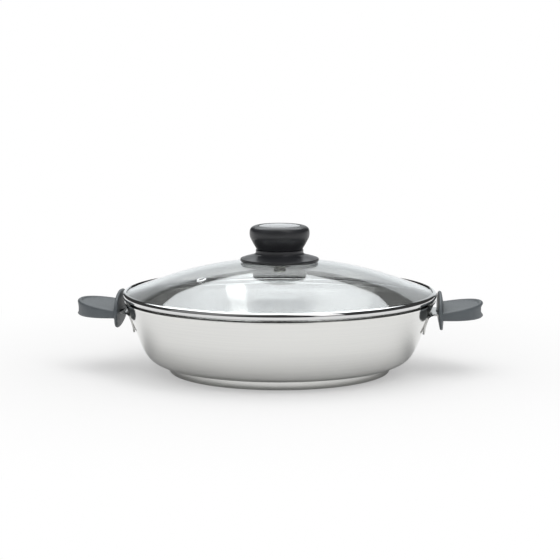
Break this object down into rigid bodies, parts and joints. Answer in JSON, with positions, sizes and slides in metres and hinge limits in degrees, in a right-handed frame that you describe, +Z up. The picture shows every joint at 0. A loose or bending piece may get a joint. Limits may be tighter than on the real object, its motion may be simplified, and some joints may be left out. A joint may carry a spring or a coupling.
{
  "type": "serving pan",
  "caption": "Low round steel serving pan with side handles, curved wall, sandwich base and a lift-off domed glass lid with a knob and a steam vent.",
  "frame": {"origin": "centre of the base underside, on the pan axis", "axes": "+Z up along the pan axis, +X along the handles, to the right in the picture"},
  "size_m": [0.3676, 0.284, 0.1322],
  "materials": {
    "satin_steel": "satin",
    "bright_steel": "polished",
    "aluminium": "plain",
    "brass": "plain",
    "grey_resin": "matte moulded",
    "black_resin": "satin moulded",
    "silicone": "matte",
    "clear_glass": "clear"
  },
  "bodies": {
    "pan": {"pan_shell": "satin_steel", "base_core": "aluminium", "base_cap": "satin_steel", "handle_bracket_right": "bright_steel", "handle_grip_right": "grey_resin", "handle_screw_right": "bright_steel", "handle_bracket_left": "bright_steel", "handle_grip_left": "grey_resin", "handle_screw_left": "bright_steel"},
    "lid": {"lid_glass": "clear_glass", "lid_band": "bright_steel", "vent_eyelet": "bright_steel", "knob_gasket": "silicone", "knob_base": "black_resin", "knob_body": "black_resin", "knob_insert": "brass", "knob_cap": "bright_steel", "knob_seal": "silicone", "knob_washer": "satin_steel", "knob_screw": "satin_steel"}
  },
  "joints": [
    {"name": "lid_lift", "type": "slide", "parent": "pan", "child": "lid", "axis": [0, 0, 1], "range_m": [0, 0.15]}
  ]
}
